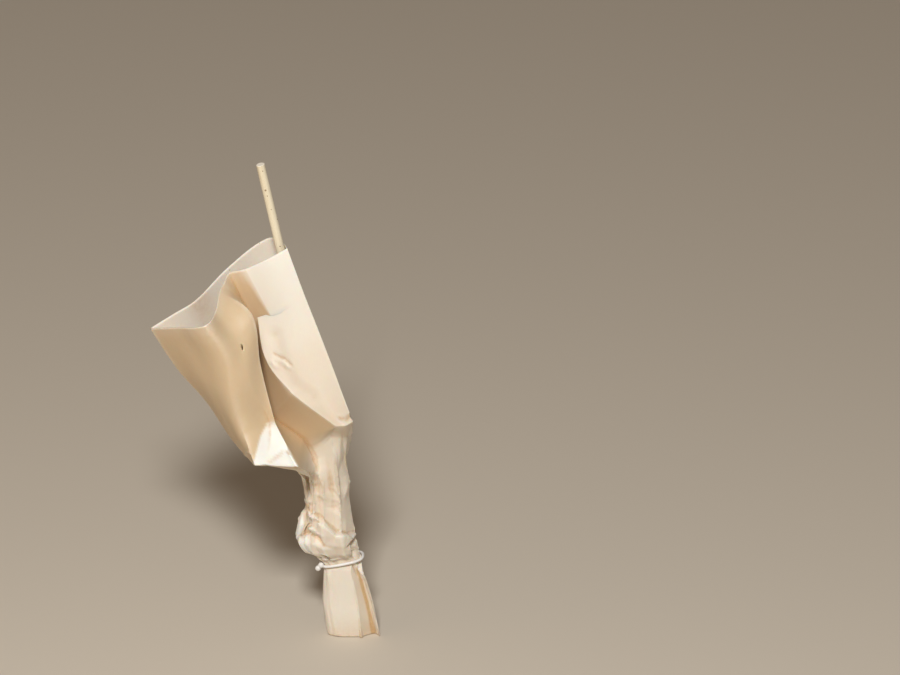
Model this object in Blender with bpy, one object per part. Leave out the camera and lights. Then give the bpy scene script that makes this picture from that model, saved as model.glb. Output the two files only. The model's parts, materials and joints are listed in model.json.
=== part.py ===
# A young grapevine planted in its paper sleeve: a straight bare cane that leans
# out of a crumpled board sleeve, with a white wire tie closing the sleeve above the ground.
# The origin is the middle of the cane's flat cut at ground level, +Z is up, and -Y faces the viewer.
import math

import bmesh
import bpy
import numpy as np

MM = 0.001

# Cane: the vine's stem, round and almost straight.
CANE_LENGTH = 407 * MM
CANE_LEAN = math.radians(11.8)
CANE_RADIUS_AT_GROUND = 3.7 * MM
CANE_RADIUS_AT_TIP = 3.3 * MM
CANE_SIDES = 24
CANE_RINGS = 9
CUT_EDGE_ANGLE = math.radians(40)

# Sleeve: one tube of coated board, which is cut to a length and never stretches.
BOARD_THICKNESS = 0.6 * MM
CLEARANCE = 1.2 * MM
STEPS_PER_PANEL = 2
STEPS_PER_HOOP = 2

# Tie: a loop of coated wire round the neck, with its two ends twisted into a small knot.
TIE_RADIUS = 1.05 * MM
TIE_GAP = 0.4 * MM
TIE_POINTS = 56
TIE_SIDES = 10
KNOT_RADIUS = 2.2 * MM
# The twisted ends' two round tips, (right, towards the viewer, up) in mm from the loop's left end.
KNOT_TIPS = [(0.4, 7.0, 1.7), (-2.0, 6.5, -1.2)]

# The eight folds that run down the open pouch, from its mouth to where the board is tucked in under it.
# Each place is (right, towards the viewer, up) in mm from the foot of the cane.
POUCH_FOLDS = {
    "left_crease": [
        (-169, 8, 264), (-148, 8, 229), (-126, 10, 202), (-106, 14, 171), (-88, 20, 153), (-64, 12, 150),
    ],
    "lobe_front": [
        (-126, 60, 290), (-111, 57, 261), (-107, 56, 231), (-97, 56, 198), (-88, 72, 178), (-62, 34, 158),
    ],
    "lobe_edge": [
        (-115, 18, 300), (-90, 36, 289), (-83, 42, 249), (-66, 47, 194.5), (-54.5, 71, 176), (-46, 44, 157),
    ],
    "valley": [
        (-108, 0, 307), (-92, -3, 267), (-86, -3, 227), (-76, 2, 188), (-52, 12, 172), (-44, 12, 158),
    ],
    "panel_edge": [
        (-95, 3, 312), (-74, 9, 272), (-78, 18, 243), (-60, 28, 218), (-26, 36, 194), (-30, 22, 178),
    ],
    "right_crease": [
        (-63, 9, 332), (-51, 14, 298), (-38, 20, 264), (-25, 26, 229), (-13, 32, 196), (-17, 16, 176),
    ],
    "back_right": [
        (-80, -33, 321), (-67, -34, 283), (-54, -31, 243), (-40, -26, 202), (-24, -20, 165), (-20, -17, 150),
    ],
    "back_left": [
        (-134, 2, 285), (-120, -6, 249), (-103, -12, 211), (-83, -14, 173), (-62, -12, 146), (-52, -12, 140),
    ],
}
# How far the panel after each fold bows out at its middle, in mm.
POUCH_BOWS = {
    "left_crease": 1,
    "lobe_front": 3,
    "lobe_edge": 0,
    "valley": 0,
    "panel_edge": 3,
    "right_crease": 5,
    "back_right": 5,
    "back_left": 0,
}
# Where the middle of the panel after a fold has a place of its own, by fold and row.
PANEL_MIDDLES = {
    ("left_crease", 1): (-131, 37, 246),
    ("left_crease", 2): (-119.5, 37, 218),
    ("left_crease", 3): (-104, 38, 186),
    ("lobe_front", 0): (-118, 39.5, 292.5),
    ("lobe_front", 1): (-100, 48, 273.5),
    ("lobe_front", 2): (-93, 53, 240),
    ("lobe_front", 3): (-77, 44, 200),
    ("lobe_front", 4): (-79, 72, 178),
}
# How sharply each fold is creased at each place, from 0 (a round bend) to 1 (a crease).
POUCH_CREASING = {
    "left_crease": (1, 1, 1, 1, 1, 1),
    "lobe_front": (0.3, 0, 0, 0.2, 1, 0.8),
    "lobe_edge": (0, 0.6, 1, 1, 1, 1),
    "valley": (0, 0.8, 1, 1, 1, 1),
    "panel_edge": (0, 0.7, 1, 1, 1, 1),
    "right_crease": (1, 1, 1, 1, 1, 1),
    "back_right": (0, 0, 0.2, 0.5, 0.8, 0.8),
    "back_left": (0, 0, 0.2, 0.5, 0.8, 0.8),
}
# How sharply each fold's own line bends at each row, on its way down.
POUCH_KINKS = {
    "left_crease": (0, 0, 0, 0, 0.6, 0.5),
    "lobe_front": (0, 0, 0, 0.3, 1, 0.5),
    "lobe_edge": (0, 0.2, 0, 0.6, 1, 0.5),
    "valley": (0, 1, 0, 0.5, 0.6, 0.5),
    "panel_edge": (0, 1, 0.3, 0.6, 1, 0.5),
    "right_crease": (0, 0, 0, 0, 1, 0.5),
    "back_right": (0, 0, 0, 0, 0.4, 0.4),
    "back_left": (0, 0, 0, 0, 0.4, 0.4),
}

# Hoops of the gathered part, from the waist down to the hem, in mm: the middle (right, towards the
# viewer, up), half the width, half the depth, and how far the panels go in between the folds,
# in front, at the back and in the groove that runs down the front beside the cane.
GATHERED_HOOPS = {
    "under_pouch": {"middle": (-36, 3, 138), "half": (20, 16), "front": 4, "back": 5, "groove": 4},
    "waist": {"middle": (-34, 2, 118), "half": (19, 14.5), "front": 3, "back": 4, "groove": 3},
    "bulge_top": {"middle": (-34, 2, 102), "half": (20, 15), "front": 2, "back": 3, "groove": 2},
    "bulge": {"middle": (-35, 3, 84.5), "half": (22.5, 16), "front": 1.5, "back": 3, "groove": 1},
    "bulge_foot": {"middle": (-32, 2, 75), "half": (20, 13.5), "front": 2, "back": 3, "groove": 1},
    "above_tie": {"middle": (-27.5, 0, 69.5), "half": (17, 10), "front": 1, "back": 2.5, "groove": 2},
    "neck": {"middle": (-22.5, 0, 62.5), "half": (15, 8.5), "front": 1, "back": 2.5, "groove": 2},
    "below_tie": {"middle": (-21.3, 0, 56.5), "half": (15.2, 9.2), "front": 0, "back": 2.5, "groove": 2.5},
    "skirt": {"middle": (-18, 0, 27), "half": (19.5, 10), "front": 0, "back": 2.5, "groove": 4.5},
    "hem": {"middle": (-14, 0, 0.2), "half": (21, 11), "front": 0, "back": 2.5, "groove": 4.5},
}
# Below the tie the flat front is wider: where its right edge and the groove beside it stand, in degrees.
SKIRT_TURNS = {"below_tie": (66, 32), "skirt": (70, 25), "hem": (76, 25)}
# The tie rises this much for each mm to the right.
NECK_TILT = 0.21
# Where each fold stands round a gathered hoop, in degrees from the right towards the viewer.
FOLD_ANGLES = {
    "left_crease": 180,
    "lobe_front": 140,
    "lobe_edge": 115,
    "valley": 92,
    "panel_edge": 64,
    "right_crease": 0,
    "back_right": -60,
    "back_left": -120,
}
GROOVE_ANGLE = 40
HOOP_SQUARENESS = 2.8
GATHERED_CREASING = 0.8
GATHERED_KINK = 0.5
# The panel's middle is a crease as well along the left side of the bright facet under the front lobe.
MIDDLE_CREASING = {("lobe_front", 3): 0.9, ("lobe_front", 4): 1}


PALE_WOOD = (0.87, 0.74, 0.53)
PEACH_BOARD = (0.85, 0.73, 0.58)
WHITE_WIRE = (0.86, 0.85, 0.84)


def make_material(name, colour, roughness):
    material = bpy.data.materials.new(name)
    material.use_nodes = True
    shader = material.node_tree.nodes["Principled BSDF"]
    shader.inputs["Base Color"].default_value = (*colour, 1)
    shader.inputs["Roughness"].default_value = roughness
    shader.inputs["Metallic"].default_value = 0
    return material


def add_object(name, mesh, material):
    mesh.materials.append(material)
    made = bpy.data.objects.new(name, mesh)
    bpy.context.scene.collection.objects.link(made)
    return made


def cane_middle(height):
    """The middle of the cane at a height above the ground."""
    return np.array([-math.tan(CANE_LEAN) * height, 0, height])


def cane_radius(height):
    share = height / (CANE_LENGTH * math.cos(CANE_LEAN))
    return CANE_RADIUS_AT_GROUND + (CANE_RADIUS_AT_TIP - CANE_RADIUS_AT_GROUND) * share


def on_oval(angle, width, depth):
    """A point at an angle on a rounded box, as (right, towards the viewer)."""
    power = 2 / HOOP_SQUARENESS
    across = math.copysign(abs(math.cos(angle)) ** power, math.cos(angle))
    forward = math.copysign(abs(math.sin(angle)) ** power, math.sin(angle))
    return width * across, depth * forward


def to_world(place):
    right, forward, up = place
    return np.array([right, -forward, up]) * MM


def pouch_hoop(row):
    """One hoop of the pouch: each fold, and the bowed middle of the panel after it."""
    names = list(POUCH_FOLDS)
    corners = [to_world(POUCH_FOLDS[name][row]) for name in names]
    hoop = []
    for index, name in enumerate(names):
        here = corners[index]
        after = corners[(index + 1) % len(corners)]
        along = (after - here) / np.linalg.norm(after - here)
        outward = np.array([along[1], -along[0], 0])
        middle = (here + after) / 2 + outward * POUCH_BOWS[name] * MM
        if (name, row) in PANEL_MIDDLES:
            middle = to_world(PANEL_MIDDLES[name, row])
        hoop += [here, middle]
    return hoop


def gathered_hoop(name):
    """One hoop of the gathered part: folds stand out, and the panels between them go in."""
    hoop = GATHERED_HOOPS[name]
    right, forward, up = hoop["middle"]
    width, depth = hoop["half"]
    tilt = NECK_TILT if name == "neck" else 0
    edge_angle, groove_angle = SKIRT_TURNS.get(name, (FOLD_ANGLES["panel_edge"], GROOVE_ANGLE))
    turns = dict(FOLD_ANGLES, panel_edge=edge_angle)
    folds = list(turns)
    points = []
    for index, fold in enumerate(folds):
        angle = turns[fold]
        after = turns[folds[(index + 1) % len(folds)]]
        after = after - 360 if after > angle else after
        halfway = (angle + after) / 2
        inset = hoop["back"] if halfway < 0 else hoop["front"]
        if fold == "panel_edge":
            halfway, inset = groove_angle, hoop["groove"]
        if fold == "right_crease":
            inset = 0
        for turn, inward in ((angle, 0), (halfway, inset)):
            across, out = on_oval(math.radians(turn), width - inward, depth - inward)
            points.append(to_world((right + across, forward + out, up + tilt * across)))
    return points


def keep_off_cane(point):
    """Moves a point of the board out until the wall clears the cane."""
    middle = cane_middle(point[2])
    away = point - middle
    least = cane_radius(point[2]) / math.cos(CANE_LEAN) + BOARD_THICKNESS + CLEARANCE
    distance = math.hypot(away[0], away[1])
    if distance >= least:
        return point
    return middle + away * least / distance


def curve_through(points, creasing, steps, closed):
    """Points of a curve through the given ones, with a corner where the creasing is 1."""
    count = len(points)
    curve = []
    for index in range(count if closed else count - 1):
        here = points[index]
        after = points[(index + 1) % count]
        before = points[index - 1] if closed or index > 0 else here
        beyond = points[(index + 2) % count] if closed or index + 2 < count else after
        straight = after - here
        sharp_here = creasing[index]
        sharp_after = creasing[(index + 1) % count]
        leaving = (after - before) / 2 * (1 - sharp_here) + straight * sharp_here
        arriving = (beyond - here) / 2 * (1 - sharp_after) + straight * sharp_after
        reach = np.linalg.norm(straight)
        leaving = leaving * reach / max(np.linalg.norm(leaving), 1e-9)
        arriving = arriving * reach / max(np.linalg.norm(arriving), 1e-9)
        for step in range(steps):
            t = step / steps
            curve.append(
                here * (2 * t**3 - 3 * t**2 + 1)
                + leaving * (t**3 - 2 * t**2 + t)
                + after * (3 * t**2 - 2 * t**3)
                + arriving * (t**3 - t**2)
            )
    return curve if closed else curve + [points[-1]]


def between_folds(table, row):
    """The folds' values at a row, each followed by the mean of its own and the next one's."""
    values = [table[name][row] for name in POUCH_FOLDS]
    return [share for index, value in enumerate(values)
            for share in (value, (value + values[(index + 1) % len(values)]) / 2)]


def sleeve_net():
    """The hoops of the sleeve from the mouth to the hem, and how sharply they bend around and down."""
    hoops = []
    around = []
    down = []
    for row in range(len(POUCH_FOLDS["valley"])):
        hoops.append(pouch_hoop(row))
        middles = [MIDDLE_CREASING.get((name, row), 0) for name in POUCH_FOLDS]
        folds = [POUCH_CREASING[name][row] for name in POUCH_FOLDS]
        around.append([value for pair in zip(folds, middles) for value in pair])
        down.append(between_folds(POUCH_KINKS, row))
    for name in GATHERED_HOOPS:
        hoops.append(gathered_hoop(name))
        around.append([GATHERED_CREASING] * 2 * len(POUCH_FOLDS))
        down.append([GATHERED_KINK] * 2 * len(POUCH_FOLDS))
    return np.array(hoops), np.array(around), np.array(down)


def sleeve_rows():
    hoops, around, down = sleeve_net()
    lines = []
    for line in range(hoops.shape[1]):
        lines.append(curve_through(list(hoops[:, line]), list(down[:, line]), STEPS_PER_HOOP, False))
    lines = np.array(lines)
    rows = []
    for row in range(lines.shape[1]):
        share = row / STEPS_PER_HOOP
        low = min(int(share), len(hoops) - 2)
        mix = share - low
        sharp = around[low] * (1 - mix) + around[low + 1] * mix
        ring = curve_through(list(lines[:, row]), list(sharp), STEPS_PER_PANEL, True)
        rows.append([keep_off_cane(point) for point in ring])
    return rows


def build_cane(material):
    mesh = bpy.data.meshes.new("cane")
    shape = bmesh.new()
    axis = cane_middle(1) / np.linalg.norm(cane_middle(1))
    side = np.cross([0, 1, 0], axis)
    rings = []
    for index in range(CANE_RINGS):
        share = index / (CANE_RINGS - 1)
        middle = axis * CANE_LENGTH * share
        radius = CANE_RADIUS_AT_GROUND + (CANE_RADIUS_AT_TIP - CANE_RADIUS_AT_GROUND) * share
        ring = []
        for step in range(CANE_SIDES):
            turn = 2 * math.pi * step / CANE_SIDES
            out = side * math.cos(turn) + np.array([0, 1, 0]) * math.sin(turn)
            point = middle + out * radius
            if index == 0:
                point = point - axis * point[2] / axis[2]
            ring.append(shape.verts.new(point))
        rings.append(ring)
    for lower, upper in zip(rings, rings[1:]):
        for step in range(CANE_SIDES):
            after = (step + 1) % CANE_SIDES
            shape.faces.new((lower[step], lower[after], upper[after], upper[step]))
    shape.faces.new(rings[0])
    shape.faces.new(rings[-1])
    bmesh.ops.recalc_face_normals(shape, faces=shape.faces)
    shape.to_mesh(mesh)
    shape.free()
    mesh.shade_smooth()
    mesh.set_sharp_from_angle(angle=CUT_EDGE_ANGLE)
    return add_object("cane", mesh, material)


def build_sleeve(material):
    rows = sleeve_rows()
    mesh = bpy.data.meshes.new("sleeve")
    shape = bmesh.new()
    grid = [[shape.verts.new(point) for point in row] for row in rows]
    around = len(grid[0])
    for upper, lower in zip(grid, grid[1:]):
        for step in range(around):
            after = (step + 1) % around
            shape.faces.new((upper[step], lower[step], lower[after], upper[after]))
    shape.to_mesh(mesh)
    shape.free()
    made = add_object("sleeve", mesh, material)
    wall = made.modifiers.new("board thickness", "SOLIDIFY")
    wall.thickness = BOARD_THICKNESS
    wall.offset = -1
    return made


def tie_path():
    """The middle of the wire, round the neck and rising to the right with it."""
    right, forward, up = GATHERED_HOOPS["neck"]["middle"]
    width, depth = GATHERED_HOOPS["neck"]["half"]
    spread = (TIE_RADIUS + TIE_GAP) / MM
    path = []
    for index in range(TIE_POINTS):
        turn = 2 * math.pi * index / TIE_POINTS
        across, out = on_oval(turn, width + spread, depth + spread)
        path.append(to_world((right + across, forward + out, up + NECK_TILT * across)))
    return path


def build_tie(material):
    path = tie_path()
    mesh = bpy.data.meshes.new("tie")
    shape = bmesh.new()
    centre = sum(path) / len(path)
    rings = []
    for index, point in enumerate(path):
        along = path[(index + 1) % len(path)] - path[index - 1]
        along = along / np.linalg.norm(along)
        out = np.cross(along, [0, 0, 1])
        out = out / np.linalg.norm(out)
        if out @ (point - centre) < 0:
            out = -out
        rise = np.cross(out, along)
        ring = []
        for step in range(TIE_SIDES):
            turn = 2 * math.pi * step / TIE_SIDES
            ring.append(shape.verts.new(point + (out * math.cos(turn) + rise * math.sin(turn)) * TIE_RADIUS))
        rings.append(ring)
    for index, ring in enumerate(rings):
        following = rings[(index + 1) % len(rings)]
        for step in range(TIE_SIDES):
            after = (step + 1) % TIE_SIDES
            shape.faces.new((ring[step], ring[after], following[after], following[step]))
    bmesh.ops.recalc_face_normals(shape, faces=shape.faces)
    shape.to_mesh(mesh)
    shape.free()
    loop = add_object("tie", mesh, material)
    left_end = min(path, key=lambda point: point[0])
    for tip in KNOT_TIPS:
        ball = bpy.data.meshes.new("knot")
        round_end = bmesh.new()
        bmesh.ops.create_icosphere(round_end, subdivisions=2, radius=KNOT_RADIUS)
        bmesh.ops.translate(round_end, verts=round_end.verts, vec=left_end + to_world(tip))
        round_end.to_mesh(ball)
        round_end.free()
        helper = add_object("knot_helper", ball, material)
        helper.hide_render = True
        helper.display_type = "WIRE"
        fuse = loop.modifiers.new("knot", "BOOLEAN")
        fuse.operation = "UNION"
        fuse.object = helper
    return loop


def main():
    for old in list(bpy.data.objects):
        bpy.data.objects.remove(old)
    build_cane(make_material("pale wood", PALE_WOOD, 0.6))
    build_sleeve(make_material("coated board", PEACH_BOARD, 0.55))
    build_tie(make_material("white coated wire", WHITE_WIRE, 0.4))


main()
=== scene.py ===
import json
import math

import bpy
import numpy as np
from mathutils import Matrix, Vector
from mathutils.geometry import delaunay_2d_cdt

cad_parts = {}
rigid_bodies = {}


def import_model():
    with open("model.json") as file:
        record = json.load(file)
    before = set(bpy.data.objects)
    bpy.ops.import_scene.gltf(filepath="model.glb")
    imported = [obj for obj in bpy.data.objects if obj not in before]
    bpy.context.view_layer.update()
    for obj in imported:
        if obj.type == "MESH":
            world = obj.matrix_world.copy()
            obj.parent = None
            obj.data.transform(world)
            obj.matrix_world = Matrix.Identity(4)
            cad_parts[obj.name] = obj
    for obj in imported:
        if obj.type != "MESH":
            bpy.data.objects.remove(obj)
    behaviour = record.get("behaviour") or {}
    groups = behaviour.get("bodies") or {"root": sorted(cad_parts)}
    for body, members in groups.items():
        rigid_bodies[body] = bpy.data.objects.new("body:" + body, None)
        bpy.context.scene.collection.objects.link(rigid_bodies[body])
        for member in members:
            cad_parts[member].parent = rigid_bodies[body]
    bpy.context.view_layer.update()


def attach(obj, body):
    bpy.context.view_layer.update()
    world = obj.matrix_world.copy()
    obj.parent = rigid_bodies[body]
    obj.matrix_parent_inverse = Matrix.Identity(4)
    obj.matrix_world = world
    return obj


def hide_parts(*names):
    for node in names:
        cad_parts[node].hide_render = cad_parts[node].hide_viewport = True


# A young grapevine as it was just planted: a bare cane in a crumpled board sleeve, tied above the ground.
for startupObject in list(bpy.data.objects):
    bpy.data.objects.remove(startupObject)
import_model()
mm = 0.001

# Camera: stands straight in front and looks down on the plant.
camera = {
    "elevation": 25,        # degrees above level
    "distance": 8,
    "pixelsPerMetre": 1300,
    "image": (900, 675),
    "footPixel": (370, 635),  # where the foot of the cane stands in the image
    "sensorWidth": 36,
    "farthest": 50,
}
cameraRise = math.radians(camera["elevation"])


def addObject(name, data):
    made = bpy.data.objects.new(name, data)
    bpy.context.scene.collection.objects.link(made)
    return made


def placeCamera():
    width, height = camera["image"]
    footAcross, footDown = camera["footPixel"]
    scale, away = camera["pixelsPerMetre"], camera["distance"]
    across = (width / 2 - footAcross) / scale
    up = (footDown - height / 2) / scale / math.cos(cameraRise)
    data = bpy.data.cameras.new("photoCamera")
    data.sensor_width = camera["sensorWidth"]
    data.lens = camera["sensorWidth"] * away * scale / width
    data.clip_end = camera["farthest"]
    eye = addObject("photoCamera", data)
    eye.location = (across, -away * math.cos(cameraRise), up + away * math.sin(cameraRise))
    eye.rotation_euler = (math.pi / 2 - cameraRise, 0, 0)
    bpy.context.scene.camera = eye
    print("camera placed")


def newMaterial(name, **sockets):
    material = bpy.data.materials.new(name)
    material.use_nodes = True
    shader = material.node_tree.nodes["Principled BSDF"]
    for socket, value in sockets.items():
        shader.inputs[socket.replace("_", " ")].default_value = value
    return material, material.node_tree, shader


def addNode(tree, kind, inputs=None, **settings):
    made = tree.nodes.new(kind)
    for name, value in settings.items():
        setattr(made, name, value)
    for socket, value in (inputs or {}).items():
        if isinstance(value, bpy.types.NodeSocket):
            tree.links.new(value, made.inputs[socket])
        else:
            made.inputs[socket].default_value = value
    return made


def connect(tree, shader, sockets):
    for name, value in sockets.items():
        tree.links.new(value, shader.inputs[name])


def mixColours(tree, factor, first, second, blend="MIX"):
    first, second = ((*colour, 1) if isinstance(colour, tuple) else colour for colour in (first, second))
    made = addNode(tree, "ShaderNodeMix", {0: factor, 6: first, 7: second},
                   data_type="RGBA", blend_type=blend)
    return made.outputs[2]


def rangeOf(tree, value, low, high, outLow=0, outHigh=1):
    return addNode(tree, "ShaderNodeMapRange", {0: value, 1: low, 2: high, 3: outLow, 4: outHigh}).outputs[0]


def objectPlace(tree, scale=(1, 1, 1), turn=(0, 0, 0)):
    place = addNode(tree, "ShaderNodeTexCoord").outputs["Object"]
    return addNode(tree, "ShaderNodeMapping", {"Vector": place, "Scale": scale, "Rotation": turn}).outputs[0]


def noiseOf(tree, place, scale, detail, roughness):
    return addNode(tree, "ShaderNodeTexNoise", {"Vector": place, "Scale": scale, "Detail": detail,
                                                "Roughness": roughness}).outputs["Fac"]


def painted(tree, name):
    # a value painted on the mesh's points
    return addNode(tree, "ShaderNodeAttribute", attribute_name=name).outputs["Fac"]


def maths(tree, operation, first, second=0):
    return addNode(tree, "ShaderNodeMath", {0: first, 1: second}, operation=operation).outputs[0]


def times(tree, first, *others):
    for other in others:
        first = maths(tree, "MULTIPLY", first, other)
    return first


def vectorMaths(tree, operation, first, second):
    socket = "Scale" if operation == "SCALE" else 1
    made = addNode(tree, "ShaderNodeVectorMath", {0: first, socket: second}, operation=operation)
    return made.outputs["Value" if operation == "DISTANCE" else "Vector"]


def partOf(tree, vector, axis):
    return addNode(tree, "ShaderNodeSeparateXYZ", {0: vector}).outputs[axis]


def solidNoise(tree, place, seed, scale, detail):
    return addNode(tree, "ShaderNodeTexNoise", {"Vector": place, "W": seed, "Scale": scale, "Detail": detail},
                   noise_dimensions="4D").outputs


def bumpOf(tree, height, distance, strength, normal=None):
    made = addNode(tree, "ShaderNodeBump", {"Height": height, "Distance": distance, "Strength": strength})
    if normal:
        tree.links.new(normal, made.inputs["Normal"])
    return made.outputs[0]


# In each look, noise is (scale, detail, roughness), a range is (noise from, to, share from, to),
# and a bump is (height in m, strength).
boardLook = {
    "colour": (0.865, 0.80, 0.705),
    "warmPatch": (0.84, 0.755, 0.65),
    # painted warm shade, the colour of the board's shaded sides and folds
    "tan": (0.80, 0.675, 0.505),
    # painted light: nearly white, for the facets the light falls fully on
    "pale": (0.93, 0.92, 0.88),
    "wornCrease": (0.93, 0.89, 0.81),
    # soil colour, also used as painted shade in the board's hollows and folds
    "dustAndShade": (0.55, 0.35, 0.16),
    "fleck": (0.42, 0.28, 0.16),
    "cutEdge": (0.92, 0.87, 0.78),
    "fibreTint": (1, 0.95, 0.86),
    "patches": (26, 4, 0.6),
    "patchRange": (0.35, 0.7),
    "fibres": (900, 3, 0.6),
    "fibreStretch": (1, 1, 0.25),
    "fibreRange": (0.3, 0.7, 0, 0.1),
    "fibreBump": (0.00006, 0.5),
    "scuffs": (240, 4, 0.65),
    "wornRange": (0.35, 0.65, 0.35, 1),
    "dustAndShadeRange": (0.3, 0.7, 0.3, 0.8),
    "roughRange": (0.3, 0.7, 0.42, 0.58),
    "fleckScale": 130,
    "fleckSize": (0.05, 0.09, 1, 0),
    "fleckChance": (0.93, 0.94, 0, 0.6),
    "waves": (60, 2, 0.5),
    "waveBump": (0.0006, 0.35),
}


def makeBoard(name, colour, warmPatch):
    look = boardLook
    material, tree, shader = newMaterial(name, Specular_IOR_Level=0.3, Subsurface_Weight=0.3,
                                         Subsurface_Radius=(1, 0.45, 0.2), Subsurface_Scale=0.0009)
    place = objectPlace(tree)
    patches = noiseOf(tree, place, *look["patches"])
    base = mixColours(tree, rangeOf(tree, patches, *look["patchRange"]), colour, warmPatch)
    fibres = noiseOf(tree, objectPlace(tree, look["fibreStretch"]), *look["fibres"])
    base = mixColours(tree, rangeOf(tree, fibres, *look["fibreRange"]), base, look["fibreTint"])
    # painted warm shade on the shaded left lobe, the valley beside it and the skirt's groove
    shadedBoard = mixColours(tree, 1, base, look["tan"], "MULTIPLY")
    base = mixColours(tree, painted(tree, "paintedShadeTan"), base, shadedBoard)
    # painted light on the most lit facets and on the right panel's rim
    base = mixColours(tree, painted(tree, "paintedLightPale"), base, look["pale"])
    scuffs = noiseOf(tree, place, *look["scuffs"])
    worn = times(tree, painted(tree, "creaseWear"), rangeOf(tree, scuffs, *look["wornRange"]))
    base = mixColours(tree, worn, base, look["wornCrease"])
    # soil near the ground, and painted shade in the hollows, deep places, folds and groove
    dustAndShadeShare = times(tree, painted(tree, "dustAndFoldShade"), rangeOf(tree, scuffs, *look["dustAndShadeRange"]))
    base = mixColours(tree, dustAndShadeShare, base, look["dustAndShade"])
    flecks = addNode(tree, "ShaderNodeTexVoronoi", {"Vector": place, "Scale": look["fleckScale"]}).outputs
    spots = rangeOf(tree, flecks["Distance"], *look["fleckSize"])
    chance = addNode(tree, "ShaderNodeSeparateColor", {0: flecks["Color"]}).outputs[0]
    spots = times(tree, spots, rangeOf(tree, chance, *look["fleckChance"]))
    base = mixColours(tree, spots, base, look["fleck"])
    waves = bumpOf(tree, noiseOf(tree, place, *look["waves"]), *look["waveBump"])
    connect(tree, shader, {"Base Color": base, "Roughness": rangeOf(tree, scuffs, *look["roughRange"]),
                           "Normal": bumpOf(tree, fibres, *look["fibreBump"], waves)})
    return material


caneLook = {
    "colour": (0.80, 0.70, 0.505),
    "grain": (0.60, 0.48, 0.30),
    "pale": (0.88, 0.81, 0.64),
    "cutWood": (0.97, 0.92, 0.82),
    "scar": (0.24, 0.15, 0.08),
    "stretch": (1, 1, 0.045),        # the grain runs along the cane
    "streaks": (520, 5, 0.62),
    "streakRange": (0.5, 0.72, 0, 0.55),
    "streakBump": (0.00012, 0.7),
    "roughRange": (0.35, 0.7, 0.5, 0.68),
    "patches": (150, 3, 0.5),
    "patchRange": (0.3, 0.7),
    "poreScale": 900,
    "poreSize": (0.06, 0.16, 0.5, 0),
    "scarEdge": (0.5, 0.85),         # solid to this share of its radius, and how strong
    "rings": (1500, 3, 0.5),
    "ringRange": (0.4, 0.75, 0, 0.4),
    "cutDepth": (0.35, 0.2),         # mm below the tip, where the cut's colour starts and is full
    "soil": (0, 0.03, 0.5, 0),       # from the ground to this height in m
}


def makeWood():
    look = caneLook
    material, tree, shader = newMaterial("paleVineWood", Specular_IOR_Level=0.3)
    along = objectPlace(tree, (1, 1, 1), (0, caneLean, 0))
    stretched = vectorMaths(tree, "MULTIPLY", along, look["stretch"])
    patches = noiseOf(tree, stretched, *look["patches"])
    base = mixColours(tree, rangeOf(tree, patches, *look["patchRange"]), look["colour"], look["pale"])
    streaks = noiseOf(tree, stretched, *look["streaks"])
    base = mixColours(tree, rangeOf(tree, streaks, *look["streakRange"]), base, look["grain"])
    pores = addNode(tree, "ShaderNodeTexVoronoi", {"Vector": stretched, "Scale": look["poreScale"]}).outputs
    base = mixColours(tree, rangeOf(tree, pores["Distance"], *look["poreSize"]), base, look["grain"])
    place = objectPlace(tree)
    solid, strength = look["scarEdge"]
    for middle, size in cane["scars"]:
        away = vectorMaths(tree, "DISTANCE", place, tuple(value * mm for value in middle))
        scar = rangeOf(tree, away, size * solid * mm, size * mm, strength, 0)
        base = mixColours(tree, scar, base, look["scar"])
    cut = [(cane["length"] - depth) * mm for depth in look["cutDepth"]]
    rings = rangeOf(tree, noiseOf(tree, place, *look["rings"]), *look["ringRange"])
    endGrain = mixColours(tree, rings, look["cutWood"], look["grain"])
    base = mixColours(tree, rangeOf(tree, partOf(tree, along, "Z"), *cut), base, endGrain)
    soil = rangeOf(tree, partOf(tree, place, "Z"), *look["soil"])
    base = mixColours(tree, soil, base, boardLook["dustAndShade"])
    connect(tree, shader, {"Base Color": base, "Roughness": rangeOf(tree, streaks, *look["roughRange"]),
                           "Normal": bumpOf(tree, streaks, *look["streakBump"])})
    return material


wireLook = {
    "colour": (0.86, 0.86, 0.86),
    "grime": (0.62, 0.57, 0.50),
    "smears": (420, 4, 0.6),
    "smearRange": (0.5, 0.75, 0, 0.45),
    "roughRange": (0.4, 0.7, 0.28, 0.5),
    "pits": (1600, 2, 0.5),
    "pitBump": (0.00004, 0.6),
}


def makeWire():
    look = wireLook
    material, tree, shader = newMaterial("whiteCoatedWire", Specular_IOR_Level=0.5)
    place = objectPlace(tree)
    smears = noiseOf(tree, place, *look["smears"])
    base = mixColours(tree, rangeOf(tree, smears, *look["smearRange"]), look["colour"], look["grime"])
    pits = noiseOf(tree, place, *look["pits"])
    connect(tree, shader, {"Base Color": base, "Roughness": rangeOf(tree, smears, *look["roughRange"]),
                           "Normal": bumpOf(tree, pits, *look["pitBump"])})
    return material


def linkPiece(name, mesh, *materials):
    piece = addObject(name, mesh)
    for material in materials:
        mesh.materials.append(material)
    return piece


def finishPiece(piece, node):
    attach(piece, "root")
    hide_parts(node)


def newGrowth(name, sizes):
    # a Geometry Nodes tree with one named input for each size
    tree = bpy.data.node_groups.new(name, "GeometryNodeTree")
    tree.interface.new_socket("Geometry", in_out="OUTPUT", socket_type="NodeSocketGeometry")
    kinds = {tuple: "NodeSocketVector", int: "NodeSocketInt", float: "NodeSocketFloat"}
    for label, value in sizes.items():
        tree.interface.new_socket(label, in_out="INPUT", socket_type=kinds[type(value)])
    return tree, tree.nodes.new("NodeGroupInput").outputs


def shapeOf(tree, kind, inputs=None):
    return addNode(tree, "GeometryNode" + kind, inputs).outputs[0]


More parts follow.
